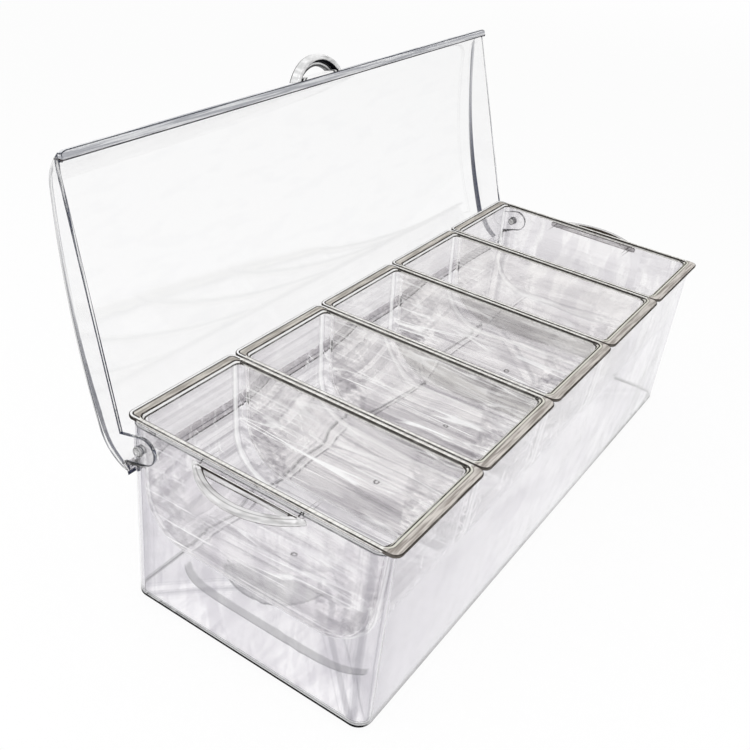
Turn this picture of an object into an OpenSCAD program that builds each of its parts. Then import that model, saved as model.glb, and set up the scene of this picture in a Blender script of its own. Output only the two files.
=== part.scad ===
// Chilled condiment caddy: a clear ice box that carries five lift-out bins,
// closed by one domed lid hinged on two pins at the back of the end walls.
// Millimetres. X runs along the box, the front faces -Y, +Z is up, and the
// origin is the middle of the face that the box stands on.

/* [Bins] */
// Distance from one bin to the next, along the box
bin_pitch = 78; // [66:1:90]
// Width of the bins from front to back, over their rims
rim_width = 155; // [140:1:175]
// Height of the bins' rims above the table
rim_height = 111.5; // [100:0.5:125]
// Thickness of a rim
rim_thickness = 1.8; // [1.2:0.1:3]
// Gap between the rims of two neighbours
rim_gap = 0.6; // [0.3:0.1:1.5]
// Plan radius of a rim's outer corners
rim_corner = 4.5; // [2:0.5:8]
// How far a rim stands out past the bin's body at the neighbours
rim_ledge = 1.6; // [1:0.1:2.5]
// Depth of a bin from its rim to the outside of its bottom
bin_depth = 70.5; // [55:0.5:80]
// Wall of a bin
bin_wall = 1.6; // [1:0.1:2.4]
// Radius between a bin's bottom and its front and back walls
bin_sweep = 30; // [15:1:40]
// Radius of a bin's other edges and upright corners
bin_edge = 5; // [3:0.5:8]
// How much the mouth flares to the rim's top, along the front and back walls
mouth_flare = 1.5; // [0.5:0.1:1.7]
// How much the mouth flares at the side walls
side_flare = 0.5; // [0.2:0.1:1]
// How much narrower a bin is at its bottom, each side, front to back
bin_taper = 2.2; // [0.5:0.1:4]
// Slope of a bin's side walls, in degrees
bin_draft = 0.8; // [0.2:0.1:1.5]
// Radius of the moulding gate's mark under a bin
gate_radius = 1.3; // [0.8:0.1:2.5]
// How far the gate's mark stands down from the bottom
gate_tall = 0.3; // [0.1:0.1:0.6]

/* [Ice box] */
// Wall of the ice box
box_wall = 2; // [1.6:0.1:3]
// Floor of the ice box
box_floor = 3; // [2:0.1:5]
// Plan radius of the box's outer corners
box_corner = 8; // [5:0.5:12]
// Radius along the box's bottom edge
box_foot = 2; // [1:0.25:4]
// Radius along the bottom inside the box
hollow_foot = 1.5; // [0.5:0.25:4]
// How much narrower the box is at its bottom, each side
box_taper = 0.5; // [0.1:0.1:1.5]
// How far the rims stand out past the front and back walls
rim_overhang = 3.5; // [2:0.1:5]
// How far the end walls stand out past the rims
end_margin = 1.5; // [1:0.1:3]

/* [Handles] */
// Half of an end handle's length where it meets the wall
handle_half = 33; // [26:1:42]
// How far an end handle lies below the top of the rims
handle_drop = 3.7; // [3.5:0.1:10]
// How far an end handle stands out from the wall
handle_reach = 15.3; // [12:0.1:20]
// Width of a handle's bar, seen from above
handle_bar = 4.4; // [3:0.1:6]
// Height of a handle's bar
handle_tall = 3.6; // [3:0.1:6]
// Thickness of the straight bar that is bonded to the wall
handle_back = 1.8; // [1.2:0.1:3]
// Rounding of a bar's edges, as a share of its thinner side
bar_round = 0.35; // [0.2:0.05:0.45]

/* [Lid] */
// Opening angle of the lid, from closed to its stop
lid_open = 104; // [95:0.5:110]
// Wall of the lid
lid_wall = 2; // [1.6:0.1:3]
// Height of the lid's crown above the rims
lid_rise = 18.5; // [15:0.1:22]
// How far the crown lies behind the middle of the box
crown_back = 3; // [-10:1:20]
// Radius of the crown, front to back
crown_radius = 450; // [350:10:700]
// Radius of the shoulder between the crown and the front edge
front_radius = 22; // [18:0.5:40]
// Radius of the shoulder between the crown and the back edge
back_radius = 28; // [18:0.5:40]
// Radius between the crown and the end caps
cap_radius = 5; // [4:0.25:8]
// How much more the lid's back corners are rounded than its front ones, seen from above
corner_pull = 3.5; // [0:0.5:6]
// How far the front edge stands back from the front of the rims
front_setback = 1; // [0.5:0.1:3.5]
// Height of the lid's upright front edge
edge_tall = 3.4; // [3:0.1:5]
// Height of the lid's upright back edge
back_tall = 2; // [1.5:0.1:4]
// Depth of the thick bead along the front edge
front_bead = 4.6; // [2.5:0.1:6]
// Radius of the round bead along the back edge
back_bead = 1.6; // [1.2:0.1:1.7]
// How far the back bead's middle lies behind the edge of the rims
back_bead_out = 1; // [0.8:0.1:1.6]
// How much the end caps lean in towards the front, in degrees
cap_draft = 1.5; // [1:0.1:1.6]
// How deep the end caps hang below the top of the rims, at the hinge
cap_drop = 2.8; // [2:0.1:3]

/* [Knob] */
// Half of the lid knob's length where it meets the lid
knob_half = 22; // [18:1:30]
// How far the lid knob sits to the left of the middle
knob_left = 5; // [0:0.5:20]
// How far the lid knob stands out from the front bead
knob_reach = 12; // [10:0.1:18]
// Width of the knob's bar, seen from above
knob_bar = 3.6; // [3:0.1:5]
// Height of the knob's bar
knob_tall = 6; // [4:0.1:7]
// Width of the thin web inside the knob's bar
knob_web = 3; // [2:0.1:3.5]
// Thickness of that web
web_thick = 2.4; // [1.5:0.1:3]
// Thickness of the knob's straight bar on the lid's front edge
knob_back = 1.2; // [1:0.1:2]

/* [Hinge] */
// How far the hinge axis lies below the top of the rims
hinge_drop = 13.6; // [12:0.1:16]
// Radius of a hinge pin's shank
pin_radius = 2; // [1.5:0.1:2.5]
// Radius of a hinge pin's head
pin_head = 3; // [2.6:0.1:4]
// Height of a hinge pin's head
pin_head_tall = 1.2; // [0.8:0.1:2]
// Bevel round the outer face of that head
pin_bevel = 0.6; // [0.2:0.1:1]
// Radius of the ear that turns on a hinge pin
ear_radius = 7.5; // [6:0.1:8.5]
// How far the ear's round end hangs below the hinge axis
ear_hang = 2.8; // [2:0.1:4]

/* [Fits] */
// Play between a bin and the ice box, and between the lid and the end walls
play = 0.8; // [0.5:0.1:1.2]
// Air under a rim, under the closed lid and at the open lid's stop
rest_gap = 0.3; // [0.2:0.05:0.5]
// Play of a hinge pin in its ear, on the radius
pin_play = 0.15; // [0.1:0.05:0.4]
// Play of a hinge pin in the box wall, on the radius
pin_seat = 0.05; // [0.02:0.01:0.1]

/* [Hidden] */
bin_count = 5;
$fn = 64;

// Thickness of the sections that a hull joins, and the overshoot of a cut
sliver = 0.01;
over = 1;
// Degrees that a finger loop's arch runs on before the wall cuts it
arch_over = 5;
// Degrees between the sections that round an edge, and steps along a long arc
round_step = 22.5;
arc_steps = 10;
// Facets round a plan's corners and round the back bead
plan_facets = 48;
bead_facets = 32;

// Rims and bins
rim_half_w = rim_width / 2;
rim_half_l = bin_count * bin_pitch / 2;
rim_under = rim_height - rim_thickness;
bin_rim_half = (bin_pitch - rim_gap) / 2;
bin_half = bin_rim_half - rim_ledge;

// Ice box
box_top = rim_under - rest_gap;
box_half_w = rim_half_w - rim_overhang;
box_half_l = rim_half_l + end_margin;
body_half_w = box_half_w - box_wall - play;

// Lid, closed
lid_top = rim_height + lid_rise;
lid_seat = rim_height + rest_gap;
cap_in = box_half_l + play;
cap_out = cap_in + lid_wall;
lid_front = -rim_half_w + front_setback;
cap_edge = rim_height - cap_drop;

// Round bead along the back edge, which rests on the back wall when the lid is open
bead_y = rim_half_w + back_bead_out;
bead_z = lid_seat + back_bead;
lid_back = bead_y + back_bead;

// Hinge axis: where the open lid's back bead comes to rest on the back wall
hinge_z = rim_height - hinge_drop;
hinge_y = (box_half_w + rest_gap + back_bead - bead_y * cos(lid_open)
           - (bead_z - hinge_z) * sin(lid_open)) / (1 - cos(lid_open));
ear_bottom = hinge_z - ear_hang - ear_radius;

handle_top = rim_height - handle_drop;

// Points of an arc about a centre
function arc(centre, r, from, to, steps) =
    [for (i = [0:steps]) let (a = from + (to - from) * i / steps) centre + r * [cos(a), sin(a)]];

// Plan of a plate with rounded corners
module round_plate(half_x, half_y, r) {
    square([2 * half_x, 2 * (half_y - r)], center = true);
    square([2 * (half_x - r), 2 * half_y], center = true);
    for (sx = [-1, 1], sy = [-1, 1]) translate([sx * (half_x - r), sy * (half_y - r)]) circle(r);
}

module plan_slice(half_x, half_y, r, z) {
    translate([0, 0, z]) linear_extrude(sliver) round_plate(half_x, half_y, r, $fn = plan_facets);
}

// Tapered block with round upright corners and a round bottom edge
module tub(half_x, half_y, r, foot, bottom, top) {
    hull() {
        plan_slice(half_x, half_y, r, top - sliver);
        for (a = [0:round_step:90])
            let (back = foot * (1 - sin(a)), inset = box_taper + back)
                plan_slice(half_x - inset, half_y - inset, r - back, bottom + foot * (1 - cos(a)));
    }
}

// Turns a drawing of the Y-Z plane into a slab standing at x = 0
module stand_up(thickness) {
    rotate([90, 0, 90]) linear_extrude(thickness) children();
}

// ---- Ice box ----

// Bores along the hinge axis, through both end walls and both ears
module pin_bores(r) {
    for (s = [-1, 1])
        translate([s * (box_half_l - box_wall / 2), hinge_y, hinge_z])
            rotate([0, 90, 0]) cylinder(h = 2 * (box_wall + cap_out - cap_in + play), r = r, center = true);
}

module ice_box() {
    color([0.9, 0.9, 0.93, 0.4])
    difference() {
        tub(box_half_l, box_half_w, box_corner, box_foot, 0, box_top);
        tub(box_half_l - box_wall, box_half_w - box_wall, box_corner - box_wall, hollow_foot, box_floor,
            box_top + over);
        pin_bores(pin_radius + pin_seat);
    }
}

// ---- D-shaped finger loop: an arched bar with a straight bar behind it ----

// Section of a bar with rounded edges, its outer side at x = 0
module bar_section(bar, tall) {
    translate([-bar / 2, 0]) round_plate(bar / 2, tall / 2, bar_round * min(bar, tall));
}

// Loop that stands out from a wall at x = 0; its child is the section of the arched bar
module finger_loop(half, reach, bar, tall, back) {
    outer = (half * half + reach * reach) / (2 * reach);
    inner = outer - bar;
    span = asin(half / outer);
    seat = outer - reach;
    back_half = sqrt(inner * inner - (seat + back / 2) * (seat + back / 2)) + bar / 2;
    intersection() {
        translate([-seat, 0, 0]) rotate([0, 0, -span - arch_over])
            rotate_extrude(angle = 2 * (span + arch_over)) translate([outer, 0]) children();
        translate([0, -half - over, -tall]) cube([reach + over, 2 * (half + over), 2 * tall]);
    }
    translate([0, -back_half, -tall / 2]) cube([back, 2 * back_half, tall]);
}

module end_handle() {
    translate([box_half_l, 0, handle_top - handle_tall / 2])
        finger_loop(handle_half, handle_reach, handle_bar, handle_tall, handle_back)
            bar_section(handle_bar, handle_tall);
}

module right_handle() {
    color([0.88, 0.87, 0.86, 0.6]) end_handle();
}

module left_handle() {
    color([0.88, 0.87, 0.86, 0.6]) mirror([1, 0, 0]) end_handle();
}

// ---- Bins ----

// Front-to-back outline of a bin below its rim, drawn in by inset
module bin_profile(inset, top) {
    r = bin_sweep - inset;
    half_top = body_half_w - inset;
    half_low = half_top - bin_taper;
    low = rim_height - bin_depth + inset;
    polygon(concat(
        [[half_top, rim_under], [half_top, top], [-half_top, top], [-half_top, rim_under]],
        arc([-half_low + r, low + r], r, 180, 270, arc_steps),
        arc([half_low - r, low + r], r, 270, 360, arc_steps)));
}

// Solid form of a bin's body, drawn in by inset and reaching up to top
module bin_form(inset, top) {
    edge = bin_edge - inset;
    half = bin_half - inset;
    hull()
        for (s = [-1, 1], a = [0:round_step:90])
            translate([s * (half - edge + edge * sin(a)), 0, rim_under])
                rotate([0, s * bin_draft, 0])
                    translate([-sliver / 2, 0, -rim_under])
                        stand_up(sliver) bin_profile(inset + edge * (1 - cos(a)), top);
}

// Bin in the middle of the box
module bin() {
    mouth_x = bin_half - bin_wall;
    mouth_y = body_half_w - bin_wall;
    corner = bin_edge - bin_wall;
    difference() {
        union() {
            translate([0, 0, rim_under]) linear_extrude(rim_thickness)
                round_plate(bin_rim_half, rim_half_w, rim_corner);
            bin_form(0, rim_under + sliver);
            translate([0, 0, rim_height - bin_depth - gate_tall])
                cylinder(h = gate_tall + bin_wall / 2, r = gate_radius, $fn = bead_facets);
        }
        bin_form(bin_wall, rim_height + over);
        hull() {
            plan_slice(mouth_x, mouth_y, corner, rim_height - mouth_flare);
            plan_slice(mouth_x + side_flare, mouth_y + mouth_flare, corner, rim_height);
        }
    }
}

module place_bin(index) {
    color([0.86, 0.85, 0.82, 0.5])
        translate([(index - (bin_count + 1) / 2) * bin_pitch, 0, 0]) bin();
}

// ---- Lid, drawn closed ----

crown_centre = [crown_back, lid_top - crown_radius];

// Middle of the arc of radius r that ends at the point and touches the crown from inside
function shoulder(point, r, side) =
    let (d = crown_centre - point, span = norm(d), gap = crown_radius - r,
         along = (r * r - gap * gap + span * span) / (2 * span), u = d / span)
        point + along * u + side * sqrt(r * r - along * along) * [-u.y, u.x];

front_centre = shoulder([lid_front, lid_seat + edge_tall], front_radius, 1);
back_centre = shoulder([lid_back, lid_seat + back_tall], back_radius, -1);

function slope_at(centre) = atan2(centre.y - crown_centre.y, centre.x - crown_centre.x);

// Front-to-back outline of the lid, drawn in by inset, with its back edge pulled forward,
// and reaching down to bottom
module dome_profile(inset, pull, bottom) {
    front = lid_front + inset;
    back = lid_back - inset - pull;
    front_r = front_radius - inset;
    back_r = back_radius - inset;
    back_middle = back_centre - [pull, 0];
    from_front = slope_at(front_centre);
    to_back = slope_at(back_middle);
    polygon(concat(
        [[front, bottom]],
        arc(front_centre, front_r, 180 - acos((front_centre.x - front) / front_r), from_front, arc_steps),
        arc(crown_centre, crown_radius - inset, from_front, to_back, arc_steps),
        arc(back_middle, back_r, to_back, acos((back - back_middle.x) / back_r), arc_steps),
        [[back, bottom]]));
}

// Turns what stands at x = 0 into the plane of an end cap, at distance x from the middle
module lean_cap(x) {
    translate([x, hinge_y, 0]) rotate([0, 0, -cap_draft]) translate([0, -hinge_y, 0]) children();
}

module both_ends() {
    children();
    mirror([1, 0, 0]) children();
}

// Solid form of the lid, drawn in by inset and reaching down to bottom
module dome_form(inset, bottom) {
    edge = cap_radius - inset;
    half = cap_out - inset;
    hull()
        both_ends()
            for (a = [0:round_step:90])
                let (draw_in = 1 - cos(a))
                    lean_cap(half - edge + edge * sin(a) - sliver)
                        stand_up(sliver) dome_profile(inset + edge * draw_in, corner_pull * draw_in, bottom);
}

// Outline of an end cap: a free edge that rises to the front, and the ear that hangs from it
module cap_outline() {
    ear_front = hinge_y - ear_radius;
    ear_z = hinge_z - ear_hang;
    front = lid_front - over;
    back = lid_back + over;
    top = lid_top + over;
    polygon([[front, lid_seat + edge_tall], [ear_front, cap_edge], [back, cap_edge], [back, top],
             [front, top]]);
    translate([hinge_y, ear_z]) circle(ear_radius);
    translate([ear_front, ear_z]) square([2 * ear_radius, cap_edge - ear_z + over]);
}

// Plan of the space between the end caps
module between_caps() {
    reach = rim_width;
    lean = reach * tan(cap_draft);
    near = cap_in - lean;
    far = cap_in + lean;
    front = hinge_y - reach;
    back = hinge_y + reach;
    polygon([[-near, front], [near, front], [far, back], [-far, back]]);
}

// Hollow of the lid, short of the thick front bead and the round back bead
module hollow() {
    difference() {
        union() {
            dome_form(lid_wall, lid_seat - over);
            translate([-cap_out, bead_y, lid_seat - over]) cube([2 * cap_out, rim_width, back_bead + over]);
        }
        translate([-cap_out, lid_front, lid_seat - over]) cube([2 * cap_out, front_bead, edge_tall + over]);
        translate([-cap_out, bead_y, bead_z])
            rotate([0, 90, 0]) cylinder(h = 2 * cap_out, r = back_bead, $fn = bead_facets);
    }
}

module lid_closed() {
    difference() {
        intersection() {
            dome_form(0, ear_bottom - over);
            union() {
                both_ends() lean_cap(cap_in - sliver) stand_up(2 * lid_wall) cap_outline();
                difference() {
                    translate([0, 0, lid_seat]) linear_extrude(2 * lid_rise) between_caps();
                    hollow();
                }
            }
        }
        pin_bores(pin_radius + pin_play);
    }
}

// Section of the knob's bar, with the web along its upper inner side
module knob_section() {
    bar_section(knob_bar, knob_tall);
    translate([-knob_bar - knob_web, knob_tall / 2 - web_thick]) square([knob_web + knob_bar / 2, web_thick]);
}

module lid_knob_closed() {
    translate([-knob_left, lid_front, lid_seat + knob_tall / 2]) rotate([0, 0, -90])
        finger_loop(knob_half, knob_reach, knob_bar, knob_tall, knob_back) knob_section();
}

// The lid's parts are drawn closed and swung open about the hinge axis
module swing_open() {
    translate([0, hinge_y, hinge_z]) rotate([-lid_open, 0, 0]) translate([0, -hinge_y, -hinge_z]) children();
}

module lid() {
    color([0.93, 0.93, 0.95, 0.35]) swing_open() lid_closed();
}

module lid_knob() {
    color([0.9, 0.9, 0.92, 0.6]) swing_open() lid_knob_closed();
}

// ---- Hinge pins ----

// Pin from the inside of an end wall, through the ear, to its head outside; side is -1 or 1
module hinge_pin(side) {
    shank_from = box_half_l - box_wall;
    head_from = cap_out + rest_gap;
    color([0.9, 0.9, 0.92, 0.7])
        translate([0, hinge_y, hinge_z]) rotate([0, side * 90, 0]) {
            translate([0, 0, shank_from]) cylinder(h = head_from - shank_from, r = pin_radius);
            translate([0, 0, head_from])
                cylinder(h = pin_head_tall, r1 = pin_head, r2 = pin_head - pin_bevel);
        }
}

module hinge_pin_left() {
    hinge_pin(-1);
}

module hinge_pin_right() {
    hinge_pin(1);
}

ice_box();
left_handle();
right_handle();
place_bin(1);  // bin_1
place_bin(2);  // bin_2
place_bin(3);  // bin_3
place_bin(4);  // bin_4
place_bin(5);  // bin_5
lid();
lid_knob();
hinge_pin_left();
hinge_pin_right();
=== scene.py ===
"""Looks of the clear condiment caddy: moulded plastic materials, studio set and camera."""
from math import cos, radians, sin

import bpy
from mathutils import Matrix, Vector


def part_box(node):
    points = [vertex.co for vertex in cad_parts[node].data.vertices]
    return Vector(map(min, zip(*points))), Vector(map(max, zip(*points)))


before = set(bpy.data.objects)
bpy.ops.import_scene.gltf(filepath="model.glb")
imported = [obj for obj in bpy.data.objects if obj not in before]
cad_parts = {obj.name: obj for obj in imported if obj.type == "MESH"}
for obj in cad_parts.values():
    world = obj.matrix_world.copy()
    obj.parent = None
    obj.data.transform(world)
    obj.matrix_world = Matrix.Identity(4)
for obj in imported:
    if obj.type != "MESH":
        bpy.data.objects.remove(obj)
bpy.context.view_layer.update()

MM = 0.001

# Camera: its place, its turn as a rotation vector (x right, y down, z forward) and its lens
CAMERA_AT = Vector((-466.13, -211.93, 382.64)) * MM
CAMERA_TURN = Vector((1.97218, -0.96926, 0.65435))
FOCAL_PX = 983.85
FRAME_PX = 750
SENSOR = 36.0
SHIFT_PX = 25

scene = bpy.context.scene


# ---------------------------------------------------------------- node helpers
class Graph:
    """Short calls for building one node tree."""

    def __init__(self, tree):
        self.tree = tree
        tree.nodes.clear()

    def add(self, kind, settings=None, **inputs):
        """A node with its settings and inputs; a socket as a value is linked, anything else is set."""
        node = self.tree.nodes.new(kind)
        for key, value in (settings or {}).items():
            setattr(node, key, value)
        for key, value in inputs.items():
            self.put(node, key.replace("_", " "), value)
        return node

    def put(self, node, key, value):
        """Link or set one input, named or numbered."""
        socket = node.inputs[int(key)] if key.isdigit() else node.inputs[key]
        if isinstance(value, bpy.types.NodeSocket):
            self.tree.links.new(value, socket)
        else:
            socket.default_value = value

    def math(self, operation, a, b=0.0, clamp=False):
        """One sum; clamp keeps it within 0 and 1."""
        node = self.add("ShaderNodeMath", {"operation": operation, "use_clamp": clamp})
        self.put(node, "0", a)
        self.put(node, "1", b)
        return node.outputs[0]

    def chain(self, operation, values):
        """One operation over all the values, from the first to the last."""
        total = values[0]
        for value in values[1:]:
            total = self.math(operation, total, value)
        return total

    def plus(self, *values):
        return self.chain("ADD", values)

    def minus(self, a, b):
        return self.math("SUBTRACT", a, b)

    def times(self, *values):
        return self.chain("MULTIPLY", values)

    def most(self, *values):
        """The greatest of the values."""
        return self.chain("MAXIMUM", values)

    def unsigned(self, value):
        """The value without its sign."""
        return self.math("ABSOLUTE", value)

    def radial(self, x, y):
        """Distance from an axis, for x and y that count from it."""
        return self.math("SQRT", self.plus(self.times(x, x), self.times(y, y)))

    def fade(self, value, low, high, at_low=0.0, at_high=1.0):
        """at_low at low and beyond it, at_high at high and beyond it, smooth in between."""
        node = self.add("ShaderNodeMapRange", {"interpolation_type": "SMOOTHSTEP"})
        for key, setting in zip(("Value", "From Min", "From Max", "To Min", "To Max"),
                                (value, low, high, at_low, at_high)):
            self.put(node, key, setting)
        return node.outputs[0]

    def line(self, where, middle, half):
        """1 on a line of that half width about a distance, 0 off it."""
        return self.fade(self.unsigned(self.minus(where, middle)), half * 1.3, half * 0.7)

    def mix_colour(self, factor, a, b):
        """Colour a where the factor is 0, b where it is 1."""
        node = self.add("ShaderNodeMix", {"data_type": "RGBA"})
        self.put(node, "0", factor)
        self.put(node, "6", a)
        self.put(node, "7", b)
        return node.outputs[2]

    def mix_shader(self, factor, a, b):
        """Shader a where the factor is 0, b where it is 1."""
        node = self.add("ShaderNodeMixShader")
        self.put(node, "0", factor)
        self.put(node, "1", a)
        self.put(node, "2", b)
        return node.outputs[0]

    def noise(self, where, scale, detail, rough):
        """Cloudy noise about 0.5."""
        node = self.add("ShaderNodeTexNoise", Vector=where, Scale=scale, Detail=detail,
                        Roughness=rough)
        return node.outputs["Fac"]


def grey(level, warmth=0.0):
    """A grey of that level, warmer above 0 and cooler below."""
    return (level * (1 + warmth), level, level * (1 - warmth), 1.0)


# ---------------------------------------------------------------- sizes, in millimetres
def box_mm(node):
    """A node's lowest and highest corners at rest."""
    return [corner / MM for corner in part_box(node)]


FLOOR = 3.0  # top of the floor of the ice box
BOX_HIGH = box_mm("ice_box")[1]
BIN_LOW, BIN_HIGH = box_mm("bin_3")  # the middle bin, so BIN_HIGH has half a bin's length and width
RIM_LOW = BIN_HIGH.z - 2.1  # just under the bins' rims
PITCH = box_mm("bin_4")[1].x - BIN_HIGH.x  # from one bin to the next
SWEEP = 39  # half of a bin's flat bottom, front to back
GRIP_LOW, GRIP_HIGH = box_mm("right_handle")
LID_HIGH = box_mm("lid")[1]
END_IN = LID_HIGH.x - 7.5  # where the lid's end caps begin
BEAD = 4.6  # the thick front bead's reach down from the top of the open lid
SWING = radians(-104)  # turn of the open lid about its hinge, from closed
# the open lid's back curve and the bend below it: middle in Y and Z, and radius
LID_BACK = (-282.7, 243.7, 403.9)
LID_BEND = (66.7, 105.3, 28.2)
BEND_TOP = 95  # height at which the bend meets the back curve


# ---------------------------------------------------------------- clear plastic
DEEP = 9  # surfaces that a ray crosses before the plastic shows a painted pale glow in place of the light beyond


class Plastic(Graph):
    """One clear plastic under construction: place, or x, y and z, is the spot on the part at rest,
    in millimetres."""

    def __init__(self, name):
        self.material = bpy.data.materials.new(name)
        self.material.use_nodes = True
        super().__init__(self.material.node_tree)
        metres = self.add("ShaderNodeTexCoord").outputs["Object"]
        scaled = self.add("ShaderNodeVectorMath", {"operation": "SCALE"}, Scale=1 / MM)
        self.put(scaled, "0", metres)
        self.place = scaled.outputs["Vector"]
        self.x, self.y, self.z = self.add("ShaderNodeSeparateXYZ", Vector=self.place).outputs

    def stretched(self, x_long, y_long, z_long, detail=2.0, rough=0.5, shift=0.0):
        """Noise whose grain is that long in each direction."""
        grain = self.add("ShaderNodeMapping", Vector=self.place, Location=(shift, shift, shift),
                         Scale=(1 / x_long, 1 / y_long, 1 / z_long))
        return self.noise(grain.outputs[0], 1.0, detail, rough)

    def streaks(self, x_long, y_long, z_long, low, high, shift=0.0):
        """Bands with soft borders, 0 where that noise is below low and 1 where it is above high."""
        return self.fade(self.stretched(x_long, y_long, z_long, shift=shift), low, high)

    def threads(self, x_long, y_long, z_long, width, shift=0.0):
        """Thin lines where a slow noise crosses its middle, 0 to 1."""
        slow = self.stretched(x_long, y_long, z_long, 1.0, 0.4, shift)
        return self.fade(self.unsigned(self.minus(slow, 0.5)), width, width * 0.3)

    def outside(self, x, y, half_x, half_y, round_by):
        """Distance out of a rectangle with round corners, for x and y that count from its middle."""
        far = [self.most(self.minus(at, half - round_by), 0.0)
               for at, half in ((x, half_x), (y, half_y))]
        return self.minus(self.radial(*far), round_by)

    def finish(self, colour, milk, milk_colour, ripple, haze, glow, warmth=0.0, shine=None,
               shade=None):
        """Glass of that colour: ripple is how wavy it is, haze its roughness, milk how much opaque
        colour it shows, for clouding and for painted shade lines alike, and in which colour, shine
        where a painted highlight shows and how brightly, shade the tint of its shadow and glow the
        level, with its warmth, of the painted glow that stands in for light that has crossed many
        walls."""
        ripples = self.stretched(22, 30, 26, 1.0, 0.4)
        wear = self.noise(self.place, 0.9, 4.0, 0.6)
        rough = self.fade(wear, 0.35, 0.75, haze, haze * 2.5)
        slow = self.add("ShaderNodeBump", Strength=ripple, Distance=0.6 * MM, Height=ripples)
        fine = self.add("ShaderNodeBump", Strength=0.02, Distance=0.05 * MM, Height=wear,
                        Normal=slow.outputs[0])
        surface = self.add("ShaderNodeBsdfPrincipled", Base_Color=colour, Roughness=rough,
                           IOR=1.49, Transmission_Weight=1.0, Normal=fine.outputs[0]).outputs[0]
        cloud_and_shade = self.add("ShaderNodeBsdfDiffuse", Color=milk_colour, Normal=slow.outputs[0])
        surface = self.mix_shader(milk, surface, cloud_and_shade.outputs[0])
        if shine is not None:
            # painted highlight: plain white light where shine is set
            bright = self.add("ShaderNodeEmission", Color=grey(1.0), Strength=0.97)
            surface = self.mix_shader(shine, surface, bright.outputs[0])
        path = self.add("ShaderNodeLightPath")
        # painted pale glow, in place of the light that crosses more than DEEP surfaces
        inner = self.add("ShaderNodeEmission", Color=grey(glow, warmth), Strength=1.0)
        surface = self.mix_shader(self.math("GREATER_THAN", path.outputs["Ray Depth"], DEEP),
                                  surface, inner.outputs[0])
        passes = self.add("ShaderNodeBsdfTransparent", Color=shade or colour)
        surface = self.mix_shader(path.outputs["Is Shadow Ray"], surface, passes.outputs[0])
        self.add("ShaderNodeOutputMaterial", Surface=surface)
        return self.material


# ---------------------------------------------------------------- ice box
def corner_run(m):
    """Wavy distance from the nearest upright corner: above 0 along the front and back walls,
    below 0 along the ends."""
    to_end = m.minus(BOX_HIGH.x, m.unsigned(m.x))
    to_side = m.minus(BOX_HIGH.y, m.unsigned(m.y))
    wave = m.times(m.minus(m.stretched(40, 40, 30, 1.0, shift=4.4), 0.5), 2.5)
    return m.plus(m.minus(to_end, to_side), wave)


def corner_lines(m, run):
    """Painted shade lines at the four upright corners, where the round corners bend the light, and
    painted soft shade beside them on the front and back.
    """
    # place along the run, half width and weight
    lines = [m.times(m.line(run, at, half), weight)
             for at, half, weight in ((-6.5, 2.0, 0.85), (3.2, 0.7, 0.8), (-12, 0.5, 0.35))]
    return m.most(*lines, m.times(m.fade(run, 24, 5), m.fade(run, 0, 4), 0.3))


def bin_shade(m):
    """Shade of the near bin's edge on the floor: a strip across the box whose ends bend away, and
    a fine line beside it."""
    strip_at, strip_half, strip_weight = -173.0, 2.3, 0.7
    line_at, line_half = -175.3, 0.4
    middle, reach, bend = 4, 60, 9
    across = m.unsigned(m.math("DIVIDE", m.minus(m.y, middle), reach))
    along = m.minus(m.x, m.times(m.math("POWER", across, 6.0), bend))
    strip = m.times(m.line(along, strip_at, strip_half), strip_weight)
    return m.times(m.most(strip, m.line(along, line_at, line_half)), m.fade(across, 1.03, 0.97))


def grip_shade(m):
    """Shade of the near handle on the floor: the part of a disc, with a darker rim, that lies
    beyond a straight cut."""
    middle_x, middle_y, radius, weight = -128.2, 23.6, 35, 0.65
    cut_at, cut_slope = -142, 0.186
    out = m.radial(m.minus(m.x, middle_x), m.minus(m.y, middle_y))
    beyond = m.plus(m.x, m.times(m.y, cut_slope))
    disc = m.times(m.fade(out, radius, radius - 0.5), m.fade(beyond, cut_at + 1, cut_at))
    return m.most(m.times(disc, weight), m.times(m.line(out, radius - 0.8, 0.8), disc))


def box_plastic():
    clear, cloud_and_shade = (0.99, 0.984, 0.995, 1), (0.85, 0.837, 0.865, 1)
    corner_shade_grey = (0.62, 0.61, 0.645, 1)
    shade_grey = (0.14, 0.14, 0.15, 1)
    foot_shade_black = (0.01, 0.01, 0.011, 1)
    m = Plastic("box_plastic")
    # painted shade: grey streaks and patches where the clear walls bend the light
    bands = m.streaks(60, 14, 40, 0.5, 0.6)
    fine = m.times(m.streaks(22, 4, 16, 0.5, 0.6, 2.6), 0.6)
    shade_patches = m.times(m.streaks(14, 14, 40, 0.5, 0.6, 6.3), 0.4)
    run = corner_run(m)
    # painted shade: the front and back walls are darker towards their near ends
    near = m.times(m.fade(m.x, 40, -180, 0.2, 0.85), m.fade(run, 0, 10))
    colour = m.mix_colour(m.most(bands, fine, shade_patches, near), clear, cloud_and_shade)
    colour = m.mix_colour(corner_lines(m, run), colour, corner_shade_grey)
    # painted shade on the top of the floor, and a painted shade line where the floor meets the walls
    ground = m.times(m.fade(m.z, FLOOR + 0.4, FLOOR + 0.2), m.fade(m.z, FLOOR - 0.6, FLOOR - 0.4))
    shaded = m.times(m.most(bin_shade(m), grip_shade(m)), ground)
    wall_foot = m.times(m.line(m.z, FLOOR + 0.9, 0.5), 0.8)
    colour = m.mix_colour(m.most(shaded, wall_foot), colour, shade_grey)
    # painted shade: the rounded foot is dark, most of all along the ends
    foot = m.times(m.fade(m.z, FLOOR - 0.1, FLOOR - 0.3), m.fade(m.z, 0.05, 0.25))
    foot = m.times(foot, m.fade(run, 6, 0, 0.35, 1.0))
    return m.finish(colour, foot, foot_shade_black, ripple=0.25, haze=0.02, glow=0.62)


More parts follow.
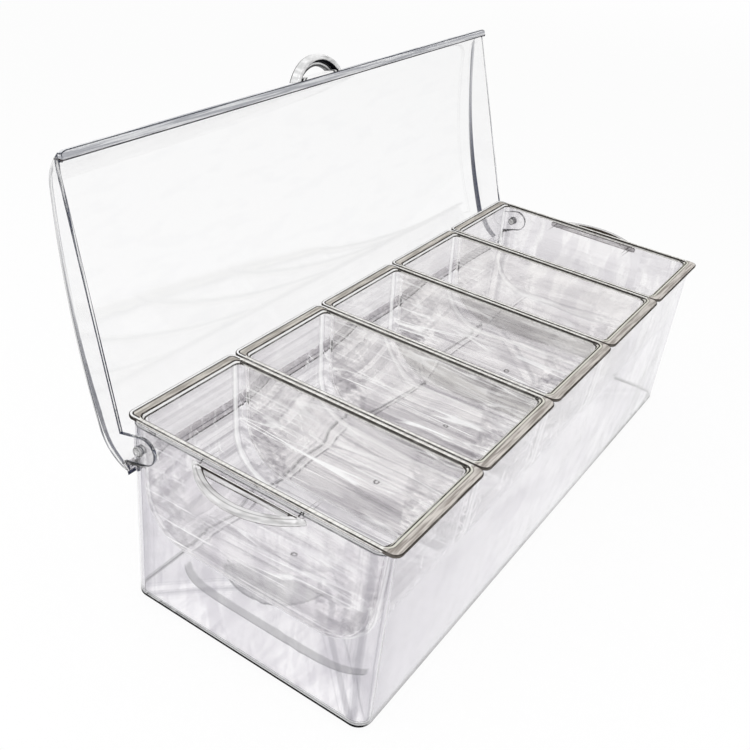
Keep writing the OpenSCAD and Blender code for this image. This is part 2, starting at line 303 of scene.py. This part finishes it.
# ---------------------------------------------------------------- bins
def bin_streaks(m):
    """Painted streaks of shade where the clear walls bend the light: from front to back on the bottom,
    along the box on the front and back.
    """
    bands = m.streaks(5, 260, 18, 0.56, 0.575)
    fine = m.streaks(1.4, 150, 6, 0.55, 0.59, shift=3.7)
    patches = m.streaks(18, 70, 22, 0.5, 0.56, shift=8.1)
    under = m.plus(m.times(bands, 0.4), m.times(fine, 0.42), m.times(bands, patches, 0.4))
    level = m.plus(m.times(m.streaks(400, 16, 6, 0.51, 0.53, 2.2), 0.5),
                   m.times(m.streaks(160, 5, 1.8, 0.52, 0.56, 6.6), 0.3))
    bottom = m.fade(m.unsigned(m.y), SWEEP + 1, SWEEP - 1)
    return m.plus(m.times(under, bottom), m.times(level, m.minus(1.0, bottom)))


def front_rim(m, inner, outer, grain):
    """Colour of a rim along the front of its bin: brown grain between painted shade lines at its
    edges, and a painted pale highlight by the mouth.
    """
    band = m.mix_colour(m.fade(grain, 0.38, 0.6), (0.30, 0.27, 0.245, 1), (0.66, 0.62, 0.58, 1))
    band = m.mix_colour(m.fade(inner, 1.7, 1.4), band, (0.70, 0.69, 0.61, 1))
    edges = m.most(m.line(outer, 0.15, 0.35), m.times(m.line(inner, 1.7, 0.25), 0.6))
    return m.mix_colour(edges, band, (0.10, 0.09, 0.08, 1))


def rear_rim(m, inner, outer, grain):
    """Colour of a rim along the back: a pale stripe of painted highlight between two black painted
    shade lines, and one at the mouth.
    """
    pale = grey(0.93)
    band = m.mix_colour(m.fade(grain, 0.38, 0.62), (0.34, 0.315, 0.285, 1), (0.66, 0.63, 0.58, 1))
    band = m.mix_colour(m.fade(inner, 0.1, -0.1), band, pale)
    band = m.mix_colour(m.line(outer, 1.1, 0.65), band, pale)
    lines = m.most(m.line(outer, 2.0, 0.4), m.line(outer, 0.2, 0.3), m.line(inner, 0.15, 0.33))
    return m.mix_colour(lines, band, (0.015, 0.013, 0.01, 1))


def side_rim(m, inner, grain):
    """Colour of a rim along the bin's sides: pale grain, and a black painted shade line at the mouth.
    """
    band = m.mix_colour(m.fade(grain, 0.4, 0.6), (0.68, 0.665, 0.63, 1), (0.88, 0.87, 0.84, 1))
    return m.mix_colour(m.line(inner, 0.1, 0.45), band, grey(0.008))


def rim_colour(m, x, y):
    """Colour of the flat rims, for x and y that count from the middle of a bin."""
    # inner counts from the mouth's upper edge outwards, outer from the rim's edge inwards
    inner = m.outside(x, y, BIN_HIGH.x - 2.7, BIN_HIGH.y - 6.4, 3.4)
    outer = m.times(m.outside(x, y, BIN_HIGH.x, BIN_HIGH.y, 4.5), -1.0)
    grain = m.stretched(22, 1.3, 4, 3.0, 0.7)
    # painted light and shade: the rims along the front and the back are one plastic, drawn as
    # differently lit copies
    beige = m.mix_colour(m.fade(m.y, -2, 2), front_rim(m, inner, outer, grain),
                         rear_rim(m, inner, outer, grain))
    lengthwise = m.fade(y, BIN_HIGH.y - 8.2, BIN_HIGH.y - 7.4)
    return m.mix_colour(lengthwise, side_rim(m, inner, grain), beige)


def bin_plastic():
    clear, cloud_and_shade = (1.0, 0.995, 0.99, 1), (0.54, 0.525, 0.545, 1)
    m = Plastic("bin_plastic")
    # the painted streaks of shade are strongest low in the bins, and weaker in the far ones
    low = m.fade(m.z, BIN_LOW.z + 55, BIN_LOW.z + 25, 0.45, 1.0)
    low = m.times(low, m.fade(m.x, 30, 120, 1.0, 0.5))
    colour = m.mix_colour(m.math("MULTIPLY", bin_streaks(m), low, clamp=True), clear, cloud_and_shade)
    # painted highlights: thin bright lines low in the bins
    glints = m.times(m.threads(5, 220, 14, 0.014, shift=5.3), m.streaks(14, 30, 20, 0.42, 0.55, 1.9))
    glints = m.times(glints, low, 0.85)
    # where the back wall's sweep meets the bottom: a fine broken painted shade line, and a painted
    # highlight line beside it
    back_foot = m.times(m.fade(m.z, BIN_LOW.z + 3, BIN_LOW.z + 2.4), m.fade(m.y, 0, 5))
    broken = m.fade(m.stretched(7, 30, 9, 1.0, shift=7.7), 0.4, 0.5)
    sweep_shade_line = m.times(m.line(m.y, SWEEP, 0.4), back_foot, m.fade(broken, 0.0, 1.0, 0.4, 0.95))
    colour = m.mix_colour(sweep_shade_line, colour, (0.3, 0.29, 0.3, 1))
    beside = m.times(m.line(m.y, SWEEP + 1.1, 0.4), back_foot, 0.4)
    # painted highlights on the round edges of the side walls, between two thin painted shade lines;
    # their places count from the middle of the bin
    edge_in, edge_middle, edge_out = 30.9, 32.5, 34.0
    x, y = m.math("PINGPONG", m.x, PITCH / 2), m.unsigned(m.y)
    edge_shade_lines = m.times(m.most(m.line(x, edge_in, 0.35), m.line(x, edge_out, 0.3)), 0.8)
    colour = m.mix_colour(edge_shade_lines, colour, (0.6, 0.59, 0.61, 1))
    shine = m.most(glints, beside, m.times(m.line(x, edge_middle, 1.0), 0.5))
    rim = m.fade(m.z, RIM_LOW, RIM_LOW + 0.2)
    return m.finish(colour, m.times(rim, 0.88), rim_colour(m, x, y), ripple=0.1, haze=0.02,
                    glow=0.73, warmth=0.01, shine=m.times(shine, m.minus(1.0, rim)))


# ---------------------------------------------------------------- lid
def lid_rim(m, down):
    """The painted shade line at the edge where the shell meets its end caps, along the open lid's
    back.
    """
    arcs = [m.line(m.radial(m.minus(m.y, middle_y), m.minus(m.z, middle_z)), radius - 0.7, 0.9)
            for middle_y, middle_z, radius in (LID_BACK, LID_BEND)]
    bend = m.times(arcs[1], m.fade(m.z, BEND_TOP + 1, BEND_TOP - 1))
    ends = m.fade(m.unsigned(m.x), END_IN, END_IN + 0.3)
    return m.times(m.most(arcs[0], bend), ends, m.fade(down, 20, 110, 0.45, 0.95))


def lid_plastic():
    clear, cloud_and_shade = (0.975, 0.975, 0.977, 1), (0.962, 0.962, 0.966, 1)
    edge_shade_blue, bead_shade_line = (0.03, 0.038, 0.085, 1), (0.05, 0.035, 0.028, 1)
    m = Plastic("lid_plastic")
    colour = m.mix_colour(m.streaks(30, 60, 9, 0.5, 0.65), clear, cloud_and_shade)
    # the front bead is uppermost while the lid is open: down counts from it
    down = m.minus(LID_HIGH.z, m.z)
    bead = m.fade(down, BEAD + 0.1, BEAD - 0.1)
    grain = m.stretched(45, 3, 1.0, 2.0, 0.6)
    blue = m.mix_colour(m.fade(grain, 0.42, 0.6), (0.50, 0.51, 0.55, 1), (0.92, 0.93, 0.95, 1))
    # painted shade line along the lower edge of the bead
    blue = m.mix_colour(m.line(down, BEAD - 0.45, 0.45), blue, bead_shade_line)
    return m.finish(colour, m.most(m.times(bead, 0.75), lid_rim(m, down)),
                    m.mix_colour(bead, edge_shade_blue, blue), ripple=0.03, haze=0.015, glow=0.66)


# ---------------------------------------------------------------- handles, knob and pins
def grip_plastic(name, tint, milk_low, milk_high, milk_colour, outlines=None):
    """Clear plastic that clouds along the bar of a handle; outlines, where there are any, is a
    function that gives their place, their colour and the shine."""
    m = Plastic(name)
    colour = m.mix_colour(m.streaks(3, 12, 2, 0.45, 0.6), tint, grey(0.93))
    milk = m.fade(m.stretched(6, 14, 2), 0.35, 0.65, milk_low, milk_high)
    shine = None
    if outlines:
        lines, dark, shine = outlines(m)
        milk = m.most(milk, lines)
        milk_colour = m.mix_colour(lines, milk_colour, dark)
    return m.finish(colour, milk, milk_colour, ripple=0.1, haze=0.03, glow=0.7, warmth=0.01,
                    shine=shine, shade=grey(0.72))


def loop_radius(half, reach):
    """Radius of an arch with that half width and that height."""
    return (half * half + reach * reach) / (2 * reach)


def handle_lines(m):
    """Painted shade lines along an end handle, their colour and no shine: at the inner and lower edges
    of the arch, in a groove on top of it and at the edge of the straight bar."""
    radius = loop_radius(GRIP_HIGH.y, GRIP_HIGH.x - GRIP_LOW.x)
    out = m.unsigned(m.x)
    arch = m.radial(m.minus(out, GRIP_HIGH.x - radius), m.y)
    arched = m.fade(out, GRIP_LOW.x + 1.8, GRIP_LOW.x + 2.2)
    inner = m.line(arch, radius - 4.1, 0.45)
    under = m.line(m.z, GRIP_LOW.z + 0.35, 0.45)
    groove = m.times(m.line(arch, radius - 1.5, 0.3), 0.45)
    bar = m.times(m.line(out, GRIP_LOW.x + 1.55, 0.35), m.line(m.z, GRIP_HIGH.z - 0.2, 0.6),
                  m.fade(m.unsigned(m.y), GRIP_HIGH.y - 4, GRIP_HIGH.y - 5))
    return m.most(m.times(m.most(inner, under, groove), arched), bar), (0.05, 0.042, 0.035, 1), None


def knob_lines(m):
    """Painted shade lines on the knob, their colour and the painted highlight inside its web: the
    lines are its rim, the inner edge of its bar and the edge of its web. The knob is measured as it
    stands on the open lid."""
    low, high = box_mm("lid_knob")
    tips = [vertex.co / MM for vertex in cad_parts["lid_knob"].data.vertices]
    outwards = Vector((0, -cos(SWING), -sin(SWING)))
    through = Vector((0, -sin(SWING), cos(SWING)))
    heights = [outwards.dot(tip) for tip in tips]
    back = max(through.dot(tip) for tip in tips)
    radius = loop_radius((high.x - low.x) / 2, max(heights) - min(heights))
    height = m.plus(m.times(m.y, outwards.y), m.times(m.z, outwards.z))
    arch = m.radial(m.minus(m.x, (low.x + high.x) / 2), m.minus(height, max(heights) - radius))
    depth = m.plus(m.times(m.y, through.y), m.times(m.z, through.z))
    rim = m.times(m.line(arch, radius - 0.4, 0.7), m.fade(depth, back - 1.4, back - 1.0))
    bar = m.line(arch, radius - 3.8, 0.8)
    web = m.times(m.line(arch, radius - 6.1, 0.6), 0.9)
    web_highlight = m.times(m.fade(arch, radius - 6.8, radius - 7.2), 0.8)
    return m.most(rim, bar, web), (0.008, 0.008, 0.01, 1), web_highlight


def edge_plastic(name, dark, weight):
    """The fine edges of clear plastic, painted with broken thin shade lines."""
    m = Plastic(name)
    broken = m.fade(m.stretched(9, 9, 9, 2.0), 0.3, 0.6, weight * 0.7, weight)
    return m.finish(grey(0.95), broken, dark, ripple=0.1, haze=0.05, glow=0.3, shade=grey(0.6))


# the plastic of each material slot of the part, and of its edges
looks = {
    "box_clear": (box_plastic(), edge_plastic("box_edge", (0.08, 0.08, 0.09, 1), 0.8)),
    "bin_clear": (bin_plastic(), edge_plastic("bin_edge", (0.035, 0.03, 0.026, 1), 0.95)),
    "lid_clear": (lid_plastic(), edge_plastic("lid_edge", (0.03, 0.035, 0.055, 1), 0.85)),
    "handle_clear": (grip_plastic("handle_plastic", grey(0.985), 0.45, 0.75, (0.95, 0.94, 0.945, 1),
                                  handle_lines),
                     edge_plastic("handle_edge", (0.035, 0.028, 0.025, 1), 1.0)),
    "knob_clear": (grip_plastic("knob_plastic", grey(0.98), 0.6, 0.85, grey(0.95), knob_lines),
                   edge_plastic("knob_edge", (0.006, 0.006, 0.008, 1), 1.0)),
    "pin_clear": (grip_plastic("pin_plastic", grey(0.93), 0.2, 0.5, grey(0.6)),
                  edge_plastic("pin_edge", (0.03, 0.03, 0.03, 1), 0.9)),
}


# ---------------------------------------------------------------- soft edges and smooth walls
CREASE = radians(20)  # curved walls turn less than this from face to face, edges more
BEVELLED = radians(38)  # edges that turn more than this get a bevel
LEVEL = radians(0.4)  # faces that turn less than this count as one flat face
MERGE = 0.002 * MM  # corners closer than this are one
# width of the bevel, mm: narrow where a wider one would reach a neighbour or spoil a small piece
BEVEL = {"ice_box": 0.45, "lid": 0.45, "lid_knob": 0.15, "hinge_pin_left": 0.15,
         "hinge_pin_right": 0.15}
BEVEL_USUAL = 0.5


def smooth_shading():
    """Node group: shades walls smooth and leaves creases sharp."""
    tree = bpy.data.node_groups.new("smooth_walls", "GeometryNodeTree")
    for in_out in ("INPUT", "OUTPUT"):
        tree.interface.new_socket("Geometry", in_out=in_out, socket_type="NodeSocketGeometry")
    g = Graph(tree)
    start = g.add("NodeGroupInput").outputs[0]
    bare = g.add("GeometryNodeRemoveAttribute", Geometry=start, Name="custom_normal")
    turn = g.add("GeometryNodeInputMeshEdgeAngle").outputs["Unsigned Angle"]
    sharp = g.add("FunctionNodeCompare", {"data_type": "FLOAT", "operation": "GREATER_THAN"})
    g.put(sharp, "0", turn)
    g.put(sharp, "1", CREASE)
    round_faces = g.add("GeometryNodeSetShadeSmooth", {"domain": "FACE"},
                        Geometry=bare.outputs[0], Shade_Smooth=True)
    creased = g.add("GeometryNodeSetShadeSmooth", {"domain": "EDGE"},
                    Geometry=round_faces.outputs[0], Selection=sharp.outputs[0],
                    Shade_Smooth=False)
    end = g.add("NodeGroupOutput")
    g.put(end, "0", creased.outputs[0])
    return tree


def dress(node, name, walls, edges, smooth):
    """Give one node its two plastics, the bevel of its edges and its smooth shading."""
    for slot in node.material_slots:
        slot.material = walls
    node.data.materials.append(edges)
    joined = node.modifiers.new("joined_corners", "WELD")
    joined.merge_threshold = MERGE
    flat = node.modifiers.new("flat_faces", "DECIMATE")
    flat.decimate_type = "DISSOLVE"
    flat.angle_limit = LEVEL
    bevel = node.modifiers.new("soft_edges", "BEVEL")
    bevel.width = BEVEL.get(name, BEVEL_USUAL) * MM
    bevel.segments = 2
    bevel.limit_method = "ANGLE"
    bevel.angle_limit = BEVELLED
    bevel.use_clamp_overlap = False
    bevel.material = 1
    shading = node.modifiers.new("smooth_walls", "NODES")
    shading.node_group = smooth


smooth_walls = smooth_shading()
for name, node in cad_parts.items():
    slot_name = node.material_slots[0].material.name.split(".")[0]
    dress(node, name, *looks[slot_name], smooth_walls)


# ---------------------------------------------------------------- studio
def studio_world():
    """Pale light all round; clear plastic shows a white backdrop and a grey room."""
    away_x, away_y = 0.82, 0.57  # the way to the backdrop, on the floor
    room = 0.5  # level of the grey room, as clear plastic shows it
    ambient = 0.5  # level of the light all round
    world = bpy.data.worlds.new("studio")
    scene.world = world
    world.use_nodes = True
    g = Graph(world.node_tree)
    way = g.add("ShaderNodeTexCoord").outputs["Generated"]
    x, y, z = g.add("ShaderNodeSeparateXYZ", Vector=way).outputs
    backdrop = g.fade(g.plus(g.times(x, away_x), g.times(y, away_y)), -0.35, 0.1)
    top = g.fade(z, 0.5, 0.75)
    seen = g.fade(g.most(backdrop, top), 0.0, 1.0, room, 1.0)
    path = g.add("ShaderNodeLightPath")
    clear = g.most(path.outputs["Is Glossy Ray"], path.outputs["Is Transmission Ray"])
    level = g.plus(g.times(seen, clear), g.times(g.minus(1.0, clear), ambient))
    level = g.most(level, path.outputs["Is Camera Ray"])
    background = g.add("ShaderNodeBackground", Strength=level, Color=grey(1.0))
    g.add("ShaderNodeOutputWorld", Surface=background.outputs[0])


def floor():
    """A plain white floor that keeps a soft shadow."""
    half = 6.0
    below = 0.05 * MM  # keeps the floor clear of the box's underside
    mesh = bpy.data.meshes.new("floor")
    mesh.from_pydata([(-half, -half, 0), (half, -half, 0), (half, half, 0), (-half, half, 0)],
                     [], [(0, 1, 2, 3)])
    plate = bpy.data.objects.new("floor", mesh)
    scene.collection.objects.link(plate)
    plate.location.z = -below
    material = bpy.data.materials.new("floor_white")
    material.use_nodes = True
    g = Graph(material.node_tree)
    matt = g.add("ShaderNodeBsdfDiffuse", Color=grey(0.95))
    lit = g.add("ShaderNodeEmission", Color=grey(1.0), Strength=1.0)
    path = g.add("ShaderNodeLightPath")
    inside = g.most(path.outputs["Is Glossy Ray"], path.outputs["Is Transmission Ray"])
    x, y, _ = g.add("ShaderNodeSeparateXYZ",
                    Vector=g.add("ShaderNodeTexCoord").outputs["Object"]).outputs
    # the floor turns fully white far from the part, where it meets the white world
    white = g.fade(g.radial(x, y), 0.6, 2.4, 0.85, 1.0)
    seen = g.most(g.times(path.outputs["Is Camera Ray"], white), g.times(inside, 0.75))
    surface = g.mix_shader(seen, matt.outputs[0], lit.outputs[0])
    g.add("ShaderNodeOutputMaterial", Surface=surface)
    mesh.materials.append(material)


def key_lamp():
    """Square lamp high on the near left; clear plastic shows the world in its place."""
    at, size, power = Vector((-1.96, -0.72, 3.4)), 0.35, 98
    lamp = bpy.data.lights.new("key", "AREA")
    lamp.shape = "SQUARE"
    lamp.size = size
    lamp.energy = power
    box = bpy.data.objects.new("key", lamp)
    box.location = at
    box.rotation_euler = (-at).to_track_quat("-Z", "Y").to_euler()
    box.visible_glossy = False
    box.visible_transmission = False
    scene.collection.objects.link(box)


studio_world()
floor()
key_lamp()


# ---------------------------------------------------------------- camera
def camera():
    """The camera, from the place, turn and lens at the top."""
    seen = Matrix.Rotation(CAMERA_TURN.length, 3, CAMERA_TURN.normalized())
    right, down, forward = seen
    turn = Matrix((right, -down, -forward)).transposed()
    data = bpy.data.cameras.new("camera")
    data.sensor_width = SENSOR
    data.lens = FOCAL_PX / FRAME_PX * SENSOR
    data.shift_x = SHIFT_PX / FRAME_PX
    eye = bpy.data.objects.new("camera", data)
    eye.matrix_world = Matrix.Translation(CAMERA_AT) @ turn.to_4x4()
    scene.collection.objects.link(eye)
    scene.camera = eye


def light_through():
    """Let light bounce often enough to cross the nested clear walls."""
    bounces = 32
    scene.cycles.max_bounces = bounces
    scene.cycles.glossy_bounces = bounces
    scene.cycles.transmission_bounces = bounces
    scene.cycles.transparent_max_bounces = bounces


camera()
light_through()
scene.view_settings.view_transform = "Standard"
